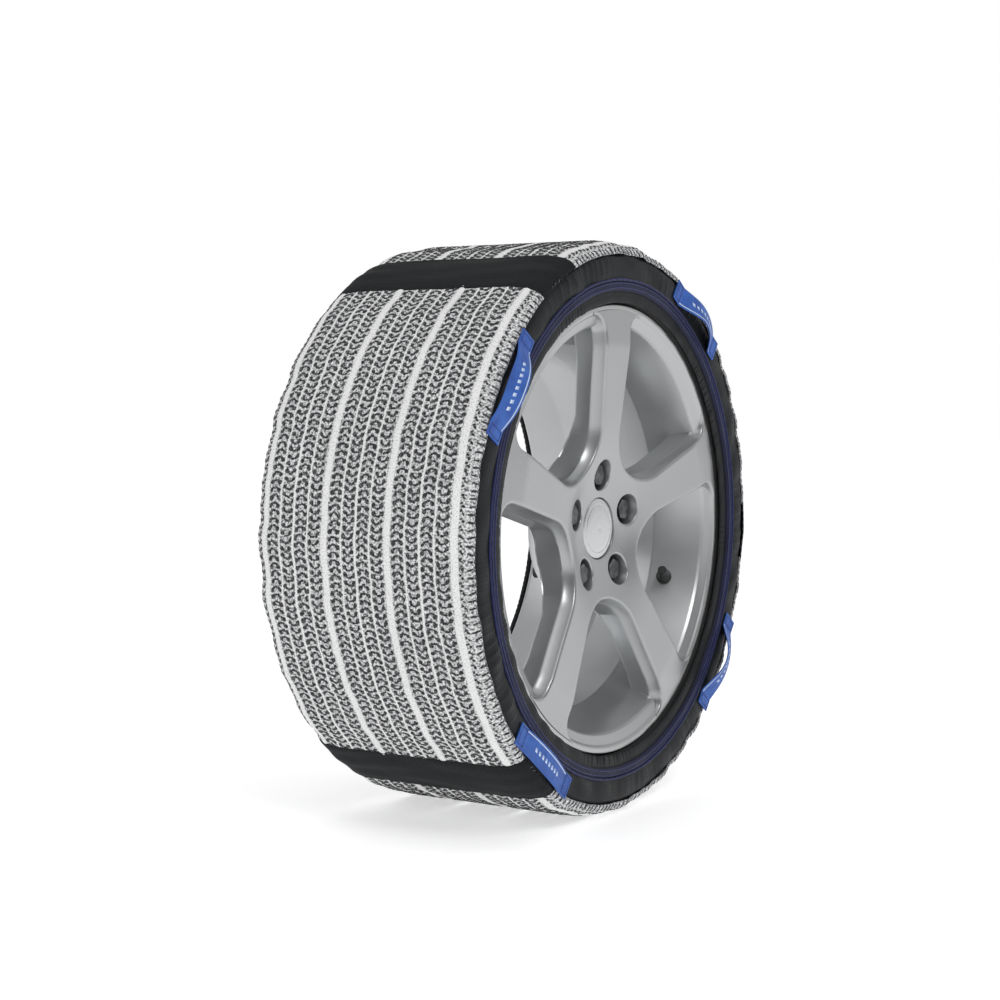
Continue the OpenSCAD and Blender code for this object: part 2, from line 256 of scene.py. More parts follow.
M = {
    # each yarn's second, dark colour is its painted shade in the gaps between fibres
    "knit": yarn("knit_yarn", (0.86, 0.865, 0.87), (0.07, 0.073, 0.078), 0.0016, 0.9, 0.05, 0.85,
                 (430.0, 0.33, 0.60)),
    "loops": yarn("loop_yarn", (0.24, 0.245, 0.25), (0.028, 0.028, 0.031), 0.0012, 0.9, 0.02, 0.9,
                  (430.0, 0.46, 0.74)),
    "stripe": yarn("stripe_yarn", (0.87, 0.875, 0.87), (0.42, 0.43, 0.43), 0.0024, 0.9, 0.05, 0.9,
                   (600.0, 0.22, 0.5)),
    "band": woven("band_weave", (0.006, 0.007, 0.008), (0.016, 0.018, 0.020), 0.0011, 0.8, 0.0),
    "side": woven("side_nylon", (0.005, 0.006, 0.007), (0.014, 0.016, 0.020), 0.0007, 0.5, 0.0, 2.5),
    "hem": woven("hem_tape_weave", (0.008, 0.009, 0.030), (0.020, 0.023, 0.065), 0.0009, 0.55, 0.05),
    "piping": yarn("piping_yarn", (0.030, 0.038, 0.14), (0.010, 0.012, 0.045), 0.0010, 0.6, 0.1),
    "thread": yarn("seam_thread", (0.32, 0.33, 0.36), (0.10, 0.10, 0.12), 0.0008, 0.6, 0.2),
    "blue_thread": yarn("hem_thread", (0.085, 0.10, 0.30), (0.03, 0.035, 0.12), 0.0008, 0.5, 0.1),
    "webbing": webbing("webbing_blue"),
    "elastic": yarn("elastic_braid", (0.7, 0.7, 0.67), (0.4, 0.4, 0.38), 0.0010),
    "alloy": lacquer("alloy_lacquer", (0.40, 0.41, 0.415), (0.31, 0.32, 0.325)),
    "alloy_rim": lacquer("rim_lacquer", (0.46, 0.47, 0.475), (0.35, 0.36, 0.365), 0.33),
    "cap": lacquer("cap_lacquer", (0.56, 0.57, 0.58), (0.46, 0.47, 0.48), 0.24),
    # painted shade: this steel, on the bolts and the cap's retaining ring, is darkened to the shade inside
    # the bolt pockets
    "steel": metal("bolt_steel_shaded", (0.16, 0.165, 0.17), (0.06, 0.062, 0.066), 0.42),
    "brass": metal("valve_brass", (0.70, 0.55, 0.28), (0.45, 0.34, 0.16), 0.35, (1, 1, 8)),
    "valve": rubber("valve_black", (0.012, 0.012, 0.013), (0.03, 0.03, 0.032), 0.55, 300),
    "tyre": rubber("tyre_black", (0.016, 0.016, 0.017), (0.045, 0.044, 0.042), 0.72),
    "floor": floor_white(),
}


# ---------- mesh helpers ----------

def faced_outwards(mesh, merge=None):
    """Turns a mesh's faces outwards, after merging the points less than `merge` metres apart."""
    shell = bmesh.new()
    shell.from_mesh(mesh)
    if merge:
        bmesh.ops.remove_doubles(shell, verts=shell.verts, dist=merge)
    bmesh.ops.recalc_face_normals(shell, faces=shell.faces)
    shell.to_mesh(mesh)
    shell.free()


def make_mesh(name, points, faces, materials, uvs=None, slots=None, sharp=None, outwards=False):
    """A smooth mesh object. points are in metres, and uvs hold a pair for each corner of each face."""
    mesh = bpy.data.meshes.new(name)
    mesh.from_pydata(np.asarray(points, float).tolist(), [], [list(map(int, f)) for f in faces])
    if uvs is not None:
        mesh.uv_layers.new(name="UVMap").data.foreach_set("uv", np.asarray(uvs, np.float32).ravel())
    for m in materials:
        mesh.materials.append(M[m])
    if slots is not None:
        mesh.polygons.foreach_set("material_index", np.asarray(slots, np.int32))
    mesh.polygons.foreach_set("use_smooth", np.full(len(mesh.polygons), True))
    if outwards:
        faced_outwards(mesh)
    mesh.validate()
    mesh.update()
    if sharp is not None:
        mesh.set_sharp_from_angle(angle=math.radians(sharp))
    obj = bpy.data.objects.new(name, mesh)
    bpy.context.scene.collection.objects.link(obj)
    return obj


def thickened(cloth, thickness):
    """Gives a cloth its thickness in millimetres, behind its face."""
    shell = cloth.modifiers.new("thickness", "SOLIDIFY")
    shell.thickness = thickness * MM
    shell.offset = -1
    return cloth


def placed(radius, y, phi):
    """Points from radius and y in millimetres, y from the wheel's middle plane, and phi from +X."""
    radius, y, phi = np.broadcast_arrays(radius, y, phi)
    return np.stack([radius * MM * np.cos(phi), y * MM + MID, radius * MM * np.sin(phi)], -1)


OPEN, RING, TORUS = (False, False), (False, True), (True, True)


def cells(rows, columns, closed):
    """Row and column of each cell of a grid. closed says whether its rows, and its columns, join up."""
    r = np.arange(rows if closed[0] else rows - 1)
    c = np.arange(columns if closed[1] else columns - 1)
    return np.meshgrid(r, c, indexing="ij")


def quads(rows, columns, closed=OPEN):
    """Faces of a grid of points stored row by row."""
    r, c = cells(rows, columns, closed)
    r2, c2 = (r + 1) % rows, (c + 1) % columns
    corners = [r * columns + c, r2 * columns + c, r2 * columns + c2, r * columns + c2]
    return np.stack(corners, -1).reshape(-1, 4)


def grid_uvs(rows, columns, u, v, closed=OPEN):
    """UVs for quads(): u goes with the rows and v with the columns, with one extra value where closed."""
    r, c = cells(rows, columns, closed)
    corners = [(r, c), (r + 1, c), (r + 1, c + 1), (r, c + 1)]
    return np.stack([np.stack([u[a], v[b]], -1) for a, b in corners], -2).reshape(-1, 2)


def grid_mesh(name, points, u, v, materials, closed=OPEN, **more):
    """A mesh from a grid of points, with its UVs."""
    rows, columns = points.shape[:2]
    faces, uvs = quads(rows, columns, closed), grid_uvs(rows, columns, u, v, closed)
    return make_mesh(name, points.reshape(-1, 3), faces, materials, uvs, **more)


def run_length(line):
    """The length along a line of points up to each of them."""
    return np.concatenate([[0], np.cumsum(np.linalg.norm(np.diff(line, axis=0), axis=1))])


def smooth_line(points, step):
    """A Catmull-Rom curve through 2D points, resampled about `step` apart. Returns its points."""
    p = np.asarray(points, float)
    p = np.vstack([2 * p[0] - p[1], p, 2 * p[-1] - p[-2]])
    t = np.linspace(0, 1, 24, endpoint=False)[:, None]
    dense = []
    for a, b, c, d in zip(p, p[1:], p[2:], p[3:]):
        square, cube = 2 * a - 5 * b + 4 * c - d, 3 * b - a - 3 * c + d
        dense.append(0.5 * (2 * b + (c - a) * t + square * t**2 + cube * t**3))
    dense = np.vstack([*dense, p[-2:-1]])
    along = run_length(dense)
    count = max(2, int(round(along[-1] / step)) + 1)
    s = np.linspace(0, along[-1], count)
    return np.stack([np.interp(s, along, dense[:, k]) for k in (0, 1)], -1)


class Path:
    """A smooth profile in the plane of radius and y, read by its arc length in millimetres."""

    def __init__(self, points):
        self.points = smooth_line(points, 0.5)
        self.s = run_length(self.points)
        self.length = self.s[-1]
        along = np.gradient(self.points, self.s, axis=0)
        along /= np.linalg.norm(along, axis=1)[:, None]
        self.normals = np.stack([along[:, 1], -along[:, 0]], -1)

    def at(self, s):
        return [np.interp(s, self.s, self.points[:, k]) for k in (0, 1)]

    def normal(self, s):
        return [np.interp(s, self.s, self.normals[:, k]) for k in (0, 1)]

    def s_at_y(self, y):
        order = np.argsort(self.points[:, 1])
        return float(np.interp(y, self.points[order, 1], self.s[order]))


def ripples(phi, s, seed, count, k_range, q_range):
    """Seeded smooth noise, periodic round the wheel, about -1 to 1. s is in millimetres."""
    rng = np.random.default_rng(seed)
    total = 0
    for _ in range(count):
        k = rng.integers(*k_range)
        q = rng.uniform(*q_range)
        total = total + np.cos(k * phi + q * s + rng.uniform(0, TAU))
    return total / math.sqrt(count) / 1.2


def ride(obj, body, replaces=()):
    """Puts a piece on a body and the CAD nodes it stands for."""
    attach(obj, body)
    if replaces:
        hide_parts(*replaces)
    return obj


def turned(name, profile, material, body, replaces, around, sharp):
    """A solid of revolution from a closed profile of [radius, y] with its corners rounded by 1 mm,
    in `around` steps, and sharp over that many degrees."""
    line = rounded_outline(np.asarray(profile, float), 1.0)
    phi = np.linspace(0, TAU, around, endpoint=False)
    points = placed(line[:, :1], line[:, 1:], phi)
    length = run_length(np.vstack([line, line[:1]]))
    round_it = np.linspace(0, TAU, around + 1) * line[:, 0].mean()
    u, v = length * MM, round_it * MM
    ride(grid_mesh(name, points, u, v, [material], TORUS, sharp=sharp, outwards=True), body, replaces)


def rounded_outline(points, radius):
    """Rounds each corner of a closed outline by up to `radius`."""
    out = []
    for a, b, c in zip(np.roll(points, 1, 0), points, np.roll(points, -1, 0)):
        before, after = a - b, c - b
        lb, la = np.linalg.norm(before), np.linalg.norm(after)
        cut = min(radius, 0.35 * lb, 0.35 * la)
        p, q = b + before / lb * cut, b + after / la * cut
        out += [(1 - t) ** 2 * p + 2 * t * (1 - t) * b + t**2 * q for t in np.linspace(0, 1, 4)]
    return np.array(out)


def capped(name, points, u, v, material, sharp=None):
    """A closed strip or tube from a grid of points whose columns join up, with a cap at each end."""
    rows, columns = points.shape[:2]
    caps = [list(range(rows * columns - columns, rows * columns)), list(range(columns))[::-1]]
    faces = quads(rows, columns, RING).tolist() + caps
    uvs = np.vstack([grid_uvs(rows, columns, u, v, RING), np.zeros((2 * columns, 2))])
    return make_mesh(name, points.reshape(-1, 3), faces, [material], uvs, sharp=sharp, outwards=True)


def tube(name, line, radius, material, sides, closed=True):
    """A round tube along a line of points in metres."""
    line = np.asarray(line, float)
    ahead = np.roll(line, -1, 0) - np.roll(line, 1, 0)
    if not closed:
        ahead[0], ahead[-1] = line[1] - line[0], line[-1] - line[-2]
    ahead /= np.linalg.norm(ahead, axis=1)[:, None]
    side = np.cross(ahead, [0, 1, 0])
    weak = np.linalg.norm(side, axis=1) < 1e-3
    side[weak] = np.cross(ahead[weak], [1, 0, 0])
    side /= np.linalg.norm(side, axis=1)[:, None]
    up = np.cross(side, ahead)
    turn = np.linspace(0, TAU, sides, endpoint=False)[:, None]
    points = line[:, None] + radius * (np.cos(turn) * side[:, None] + np.sin(turn) * up[:, None])
    along = run_length(np.vstack([line, line[:1]]))
    across = np.linspace(0, TAU * radius, sides + 1)
    if closed:
        return grid_mesh(name, points, along, across, [material], TORUS, outwards=True)
    return capped(name, points, along, across, material)


def joined(name, objects):
    """Joins objects into one, under one name."""
    bpy.ops.object.select_all(action="DESELECT")
    for o in objects:
        o.select_set(True)
    bpy.context.view_layer.objects.active = objects[0]
    bpy.ops.object.join()
    objects[0].name = name
    objects[0].data.name = name
    return objects[0]


# ---------- sock: tread ----------

# The outer face of the knit, from its outboard edge over the tread to its inboard edge.
KNIT = Path([
    (302.9, -133.6), (306.3, -132.1), (309.8, -129.0), (312.9, -123.0), (314.9, -115.0), (316.4, -105.0),
    (317.1, -94.0), (317.1, -40.0), (317.1, 40.0), (317.1, 92.0), (316.5, 106.0), (314.8, 116.0),
    (311.8, 124.0), (307.0, 131.0),
])
STITCH_COUNT = 250
STITCH = TAU / STITCH_COUNT
STRIPES = [KNIT.s_at_y(y) for y in (-117.7, -39.0, 39.5, 118.0)]
STRIPE_HALF = 3.9
EDGE_RIB = 8.6
# Thin white lines between the columns of loops: (s, half width).
LINES = [(a + STRIPE_HALF + (b - a - 2 * STRIPE_HALF) * share, half)
         for a, b in zip(STRIPES, STRIPES[1:]) for share, half in ((0.25, 0.8), (0.5, 1.25), (0.75, 0.8))]
KNIT_T = 1.5
SKIN_R = 317.0  # the radius at which lengths round the tread are measured


def lumps(phi, s):
    """How far the stretched knit stands off its smooth shape, in millimetres."""
    slack = 0.55 + 0.45 * np.abs(2 * s / KNIT.length - 1) ** 2
    soft = ripples(phi, s, 3, 9, (18, 44), (-0.02, 0.02))
    fine = ripples(phi, s, 5, 8, (50, 90), (-0.06, 0.06))
    return np.clip(0.75 + 1.15 * slack * (soft + 0.5 * fine), -0.5, 3.0)


def on_knit(phi, s, height):
    """Points on the knit, `height` above its lumpy face, kept above the ground."""
    r, y = KNIT.at(s)
    nr, ny = KNIT.normal(s)
    out = height + lumps(phi, s)
    points = placed(r + nr * out, y + ny * out, phi)
    points[..., 2] = np.maximum(points[..., 2], FLOOR + 0.00005 + np.maximum(0.0, 0.0004 - out * 0.0001))
    return points


def knit_relief(phi, s):
    """Raised stripes, thin lines between the columns of loops, and ribs along both edges."""
    wave = np.cos(STITCH_COUNT * phi)
    rise = 0.1 * wave
    for stripe in STRIPES:
        across = np.clip(1 - ((s - stripe) / STRIPE_HALF) ** 2, 0, 1)
        rise = rise + np.sqrt(across) * (0.95 + 0.12 * wave)
    for middle, half in LINES:
        rise = rise + 0.45 * half * np.clip(1 - ((s - middle) / (half + 0.7)) ** 2, 0, 1)
    from_edge = np.minimum(s, KNIT.length - s)
    rib = np.clip(1 - np.abs(from_edge - EDGE_RIB / 2) / (EDGE_RIB / 2 + 0.4), 0, 1) ** 0.4
    return rise + rib * (0.35 + 0.45 * wave)


def knit_rows():
    """Values of s across the knit: even steps, with extra rows where the stripes rise."""
    even = np.linspace(0, KNIT.length, int(KNIT.length / 2.3))
    extra = [stripe + d for stripe in STRIPES for d in (-4.0, -3.5, -2.4, 0, 2.4, 3.5, 4.0)]
    extra += [line + d for line, half in LINES for d in (-half - 0.4, -half, half, half + 0.4)]
    keep = [s for s in even if min(abs(s - stripe) for stripe in STRIPES) > 4.6
            and min(abs(s - line) for line, _ in LINES) > 2.2]
    return np.sort(np.concatenate([keep, extra]))


def knit_cloth(name, start, end):
    """The ground cloth of one knitted piece, with a scalloped edge on both sides."""
    s = knit_rows()
    columns = int((end - start) / STITCH * 4) + 1
    phi = np.linspace(start, end, columns)
    row = s[:, None]
    scallop = 1.1 * np.cos(STITCH_COUNT * phi)
    from_edge = np.minimum(row, KNIT.length - row)
    side = np.where(row < KNIT.length / 2, -1, 1)
    moved = row + side * scallop * np.clip(1 - from_edge / 5, 0, 1)
    points = on_knit(phi, np.clip(moved, 0, KNIT.length), knit_relief(phi, row))
    raised = [(stripe, STRIPE_HALF) for stripe in STRIPES] + LINES
    in_stripe = [any(abs((a + b) / 2 - middle) < half for middle, half in raised) for a, b in zip(s, s[1:])]
    slots = np.repeat(np.array(in_stripe, int), columns - 1)
    cloth = grid_mesh(name, points, s * MM, phi * SKIN_R * MM, ["knit", "stripe"], slots=slots)
    return thickened(cloth, KNIT_T)


PAD_SIDES = 8


def pads(name, phi, s, turn, length, width, height, material, surface=on_knit):
    """Small rounded pads of yarn on a surface. turn is from the s direction towards growing phi."""
    phi, s, turn, length, width, height = np.broadcast_arrays(phi, s, turn, length, width, height)
    around = np.linspace(0, TAU, PAD_SIDES, endpoint=False)
    rings = [(1.0, -0.45), (0.82, 0.75)]  # (share of the pad's size, share of its height)
    local = [(np.cos(around) * size, np.sin(around) * size, np.full(PAD_SIDES, lift))
             for size, lift in rings]
    local.append((np.zeros(1), np.zeros(1), np.ones(1)))
    b0, a0, h0 = (np.concatenate([part[k] for part in local]) for k in range(3))
    b0 = np.sign(b0) * np.abs(b0) ** 0.8
    b, a = b0[None] * length[:, None] / 2, a0[None] * width[:, None] / 2
    cos, sin = np.cos(turn)[:, None], np.sin(turn)[:, None]
    along, round_it = b * cos - a * sin, b * sin + a * cos
    points = surface(phi[:, None] + round_it / SKIN_R, s[:, None] + along, h0[None] * height[:, None])
    ring = np.arange(PAD_SIDES)
    after = (ring + 1) % PAD_SIDES
    side = np.stack([ring, after, after + PAD_SIDES, ring + PAD_SIDES], -1)
    top = np.stack([ring + PAD_SIDES, after + PAD_SIDES, np.full(PAD_SIDES, 2 * PAD_SIDES)], -1)
    count = 2 * PAD_SIDES + 1
    faces = []
    for k in range(len(phi)):
        faces += (side + k * count).tolist() + (top + k * count).tolist()
    uv = np.stack([s[:, None] + along, phi[:, None] * SKIN_R + round_it], -1) * MM
    uvs = np.concatenate([uv[:, side].reshape(len(phi), -1, 2), uv[:, top].reshape(len(phi), -1, 2)], 1)
    return make_mesh(name, points.reshape(-1, 3), faces, [material], uvs.reshape(-1, 2))


def loop_marks(start, end):
    """Where one piece's dark loops lie, as (phi, s, turn, length, width): arcs, edge marks and ticks.
    The arcs of neighbouring columns open opposite ways."""
    first, last = math.ceil(start / STITCH), math.floor(end / STITCH)
    phi = np.arange(first, last + 1) * STITCH
    marks = []

    def add(shift, s, turn, length, width):
        marks.append(np.broadcast_arrays(phi + shift / SKIN_R, s, turn, length, width))

    for a, b in zip(STRIPES, STRIPES[1:]):
        pitch = (b - a - 2 * STRIPE_HALF) / 4
        for column in range(4):
            middle = a + STRIPE_HALF + pitch * (column + 0.5)
            up = 1 if column % 2 == 0 else -1
            late = 0.0 if up > 0 else 2.9
            add(late + 2.2 * up, middle, 0.0, 5.4, 2.8)
            for side in (-1, 1):
                add(late - 0.8 * up, middle + side * 5.0, -side * up * 1.15, 5.4, 5.0)
                add(late + 1.1 * up, middle + side * 3.3, -side * up * 0.6, 3.4, 3.0)
    for stripe, side in ((STRIPES[0], -1), (STRIPES[-1], 1)):
        add(0.6, stripe + side * (STRIPE_HALF + 2.0), 0.75, 3.9, 2.5)
        add(3.4, stripe + side * (STRIPE_HALF + 4.0), -0.8, 4.0, 2.4)
    for middle in (EDGE_RIB / 2 + 0.3, KNIT.length - EDGE_RIB / 2 - 0.3):
        add(0.5 * STITCH * SKIN_R, middle, 0.06, EDGE_RIB - 0.5, 2.6)
    return [np.concatenate([m[k] for m in marks]) for k in range(5)]


def knit_loops(name, start, end, seed):
    """The dark loops of one knitted piece, each a little different."""
    phi, s, turn, length, width = loop_marks(start, end)
    rng = np.random.default_rng(seed)
    jitter = rng.normal(0, 1, (5, len(phi)))
    return pads(name, phi + jitter[0] * 0.3 / SKIN_R, s + jitter[1] * 0.3, turn + jitter[2] * 0.2,
                length * (1 + 0.1 * jitter[3]), width * (1 + 0.14 * jitter[4]), 0.8, "loops")


def knitted_piece(index, node):
    """A knitted piece from one band to the next, tucked half a degree under both, with its loops."""
    start = BAND_PLACES[index] + BAND_HALF
    end = BAND_PLACES[(index + 1) % 3] - BAND_HALF + (TAU if index == 2 else 0)
    tuck = math.radians(0.5)
    cloth = knit_cloth("knit_" + node, start - tuck, end + tuck)
    ride(cloth, "sock", ["tread_fabric_" + node])
    loops = ride(knit_loops("knit_loops_" + node, start, end, 11 + index), "sock")


def band_surface(middle):
    """A band's own face: it lies over the knit and turns down along both of its edges."""
    def surface(phi, s, height):
        share = np.abs(phi - middle) / BAND_HALF
        lift = 1.35 * np.clip((1.04 - share) / 0.05, 0, 1) ** 0.5
        puff = 0.35 * ripples(phi * 3, s, 31, 6, (9, 30), (-0.05, 0.05))
        return on_knit(phi, s, height + lift + puff - 0.3 * lumps(phi, s))
    return surface


def seam_band(name, middle, node):
    """A smooth band across the tread, with two rows of stitches along each edge."""
    surface = band_surface(middle)
    s = np.linspace(-0.6, KNIT.length + 0.6, 110)
    wobble = 0.0018 * ripples(np.zeros(1), s, 41, 5, (1, 3), (-0.12, 0.12))
    edge = np.array([0.98, 1.01, 1.03, 1.035])
    share = np.concatenate([-edge[::-1], np.linspace(-0.93, 0.93, 21), edge])
    phi = middle + share[None, :] * (BAND_HALF + wobble[:, None])
    points = surface(phi, np.clip(s[:, None], 0, KNIT.length), 0.0)
    band = thickened(grid_mesh(name, points, s * MM, share * BAND_HALF * SKIN_R * MM, ["band"]), 1.2)
    rows = np.array([-0.93, -0.87, 0.87, 0.93])
    phi, along = np.meshgrid(middle + rows * BAND_HALF, np.arange(2.5, KNIT.length - 2, 3.4), indexing="ij")
    sewn = pads(name + "_stitches", phi.ravel(), along.ravel(), 0.0, 2.5, 0.65, 0.28, "side", surface)
    ride(sewn, "sock")
    ride(band, "sock", [node])


for index, node in enumerate(("left", "bottom", "right")):
    knitted_piece(index, node)
for middle, node in zip(BAND_PLACES, ("top", "bottom", "right")):
    seam_band("band_" + node, middle, "seam_band_" + node)


# ---------- sock: outer and inner sides ----------

def ring_cloth(name, path, columns, rows, offset, material, thickness, radius, node):
    """A gathered ring of cloth along a Path, with offset(phi, s) in millimetres along its normal.
    radius is where its weave is true to size, in metres."""
    s = np.linspace(0, path.length, rows)[:, None]
    phi = np.linspace(0, TAU, columns, endpoint=False)
    r, y = path.at(s)
    nr, ny = path.normal(s)
    out = offset(phi, s)
    points = placed(r + nr * out, y + ny * out, phi)
    points[..., 2] = np.maximum(points[..., 2], FLOOR + 0.0003)
    v = np.linspace(0, TAU, columns + 1) * radius
    cloth = thickened(grid_mesh(name, points, s[:, 0] * MM, v, [material], RING), thickness)
    ride(cloth, "sock", [node])


def creases(phi, s, seed, k_range):
    """Gathered folds: rounded crests with narrow valleys, 0 to 1."""
    wave = ripples(phi, s, seed, 5, k_range, (-0.05, 0.05))
    return 1 - np.clip(np.abs(wave), 0, 1) ** (1 / 1.6)


SIDE = Path([(273.2, -131.3), (276.2, -133.4), (283.0, -134.7), (292.0, -134.9), (298.5, -133.9),
             (302.5, -131.4), (305.5, -129.3)])
HEM = Path([(262.6, -128.0), (263.2, -132.2), (265.0, -133.7), (269.0, -134.3), (273.0, -133.9),
            (274.6, -132.2), (274.8, -128.6)])
RUFFLE = Path([(249.9, -128.7), (252.0, -130.0), (256.0, -130.8), (260.0, -131.0), (263.6, -131.2)])
INNER_SIDE = Path([(251.6, 138.6), (256.0, 138.9), (268.0, 138.8), (284.0, 138.6), (296.0, 136.6),
                   (304.0, 132.4), (308.0, 128.6)])
INNER_SIDE.normals = -INNER_SIDE.normals  # outwards is towards the car


def whip_seam(name, s, swing, height, lift, node):
    """Overlock thread that whips an edge of the knit to a side panel."""
    phi = np.linspace(0, TAU, STITCH_COUNT * 8, endpoint=False)
    line = on_knit(phi, s + swing * np.cos(STITCH_COUNT * phi), height + lift * np.sin(STITCH_COUNT * phi))
    ride(tube(name, line, 0.00042, "thread", 4), "sock", [node])


def side_panel():
    """The outer side fabric: puckers of uneven depth, pinched along the hem."""
    def offset(phi, s):
        share = s / SIDE.length
        free = np.sin(math.pi * np.clip(share, 0, 1)) ** 0.6
        where = np.clip(0.5 + ripples(phi, s, 54, 5, (3, 13), (-0.02, 0.02)), 0, 1.3)
        folds = creases(phi, s, 51, (30, 90)) - 0.45
        soft = ripples(phi, s, 52, 9, (9, 40), (-0.12, 0.12))
        pinch = creases(phi, s, 53, (110, 170)) * np.exp(-s / 5)
        return free * (0.85 * where * folds + 1.1 * soft) + 0.4 * where * pinch
    ring_cloth("side_panel", SIDE, 1300, 26, offset, "side", 0.6, 0.29,
               "outer_side_panel")


def hem():
    """The hem tape with two rows of topstitching, and the piping along it."""
    def offset(phi, s):
        tucks = creases(phi, s, 61, (120, 200)) - 0.5
        soft = ripples(phi, s, 62, 6, (8, 30), (-0.1, 0.1))
        return 0.28 * tucks * np.sin(math.pi * s / HEM.length) + 0.15 * soft
    ring_cloth("hem_band", HEM, 1100, 20, offset, "hem", 0.5, 0.269, "outer_hem")
    rows = []
    for radius, y in ((266.4, -134.35), (271.6, -134.5)):
        phi = np.linspace(0, TAU, 2000, endpoint=False)
        line = placed(radius, y - 0.12 * np.cos(phi * 420), phi)
        rows.append(tube(f"row_{radius:.0f}", line, 0.00042, "blue_thread", 5))
    ride(joined("hem_topstitch", rows), "sock")
    phi = np.linspace(0, TAU, 900, endpoint=False)
    wander = 0.25 * ripples(phi, 0, 63, 6, (9, 40), (0, 0.01))
    piping = tube("piping", placed(275.6 + wander, -133.9 + 0.5 * wander, phi), 0.00155, "piping", 8)
    ride(piping, "sock", ["outer_piping"])


def ruffle():
    """The narrow gathered flap inside the hem, freer towards its edge."""
    def offset(phi, s):
        free = np.clip(1 - s / RUFFLE.length, 0, 1)
        where = np.clip(0.35 + ripples(phi, s, 73, 5, (3, 15), (-0.02, 0.02)), 0, 1.2)
        folds = creases(phi, s, 71, (80, 170)) - 0.5
        soft = ripples(phi, s, 72, 6, (16, 50), (-0.05, 0.05))
        return (0.25 + 0.9 * free) * where * folds + 0.5 * free * soft
    ring_cloth("ruffle", RUFFLE, 1500, 12, offset, "side", 0.5, 0.257, "outer_ruffle")


def inner_side():
    """The side fabric towards the car, and the ruched casing round its elastic."""
    def offset(phi, s):
        share = s / INNER_SIDE.length
        folds = creases(phi, s, 81, (70, 130)) - 0.5
        soft = ripples(phi, s, 82, 8, (14, 40), (-0.05, 0.05))
        return (1.5 * (1 - share) + 0.25) * folds + 0.4 * np.sin(math.pi * share) * soft
    ring_cloth("inner_panel", INNER_SIDE, 1300, 40, offset, "side", 0.6, 0.28,
               "inner_side_panel")
    radius, y, sides, columns = 247, 134.5, 16, 1300
    turn, phi = np.linspace(0, TAU, sides + 1), np.linspace(0, TAU, columns + 1)
    row = turn[:-1, None]
    size = 4.3 + 0.75 * (creases(phi[:-1], row * 3, 83, (80, 140)) - 0.5)
    points = placed(radius + size * np.cos(row), y + size * np.sin(row), phi[:-1])
    u, v = turn * 4.5 * MM, phi * radius * MM
    casing = grid_mesh("inner_casing", points, u, v, ["side"], TORUS, outwards=True)
    ride(casing, "sock", ["inner_hem"])


side_panel()
hem()
ruffle()
whip_seam("edge_seam", 1.0, 1.3, 0.3, 0.35, "outer_edge_binding")
inner_side()
whip_seam("inner_seam", KNIT.length - 1.0, -1.3, 0.3, 0.3, "inner_edge_binding")


# ---------- sock: handles ----------

HANDLE_R, HANDLE_Y = 288.5, -135.3
STRAP_W, STRAP_T = 25.0, 1.5
STRAP_HALF, STRAP_FREE = 62.0, 46.0
# Rise along the tilted direction, and how far that direction leans outwards from straight outboard.
ARCHES = [(13.0, 20.0), (12.0, 20.0), (4.0, 8.0), (13.0, 20.0)]


def strap_point(index, along, across, up):
    """A point on a handle: along and across its webbing and above its face, in millimetres."""
    along, across, up = np.broadcast_arrays(along, across, up)
    phi = HANDLE_PLACES[index]
    rise, lean = ARCHES[index]
    free = np.clip(1 - (along / STRAP_FREE) ** 2, 0, 1)
    tilt = math.radians(lean) * free**1.6
    out = np.array([math.cos(phi), 0, math.sin(phi)])
    tangent = np.array([-math.sin(phi), 0, math.cos(phi)])
    outboard = np.array([0, -1.0, 0])
    e_up = np.cos(tilt)[..., None] * outboard + np.sin(tilt)[..., None] * out
    e_across = np.cos(tilt)[..., None] * out - np.sin(tilt)[..., None] * outboard
    height = rise * free**1.15 + up
    base = np.array([0, HANDLE_Y * MM + MID, 0]) + out * HANDLE_R * MM
    moved = along[..., None] * tangent + height[..., None] * e_up + across[..., None] * e_across
    return base + MM * moved


def strap_half(index, side):
    """Half of a handle, from its middle to its sewn end, as a closed strip of webbing."""
    free, sewn = np.linspace(0, STRAP_FREE, 40), np.linspace(STRAP_FREE + 1.2, STRAP_HALF, 12)
    along = side * np.concatenate([free, sewn])
    edge = STRAP_W / 2
    half = [(-edge + 0.5, 0), (-edge, 0.5), (-edge, STRAP_T - 0.5), (-edge + 0.5, STRAP_T)]
    half += [(a, STRAP_T) for a in np.linspace(-edge + 3, edge - 3, 8)]
    cross = np.array(half + [(-a, STRAP_T - b) for a, b in half])
    points = strap_point(index, along[:, None], cross[:, 0], cross[:, 1])
    u = (along + STRAP_HALF) * MM
    v = (edge - np.append(cross[:, 0], cross[0, 0])) * MM
    name = f"handle_{index + 1}_{'upper' if side > 0 else 'lower'}"
    return capped(name, points, u, v, "webbing", sharp=50)


def handle(index):
    """A grab handle: each half of its webbing bends from the sock to the loop, and is sewn at its end."""
    tags = [f"handle_{index + 1}_tabs", f"handle_{index + 1}_loop"]
    for side, node in zip((-1, 1), tags):
        half = strap_half(index, side)
        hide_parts(node)
        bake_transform(half)
    spots = []
    for side in (-1, 1):
        spots += [(side * a, b, math.pi / 2) for a in (49.0, 59.0) for b in np.linspace(-9.6, 9.6, 9)]
        spots += [(side * a, b, 0.0) for b in (-9.6, 9.6) for a in np.linspace(50.5, 57.5, 4)]
    run = np.array([-0.9, -0.5, 0, 0.5, 0.9])
    up = STRAP_T + np.array([-0.2, 0.25, 0.4, 0.25, -0.2])
    stitches = []
    for a, b, turn in spots:
        line = strap_point(index, a + run * math.cos(turn), b + run * math.sin(turn), up)
        stitches.append(tube("stitch", line, 0.0003, "blue_thread", 5, False))
    ride(joined(f"handle_{index + 1}_stitches", stitches), "sock")


for index in range(4):
    handle(index)


# ---------- wheel: hub and spokes ----------

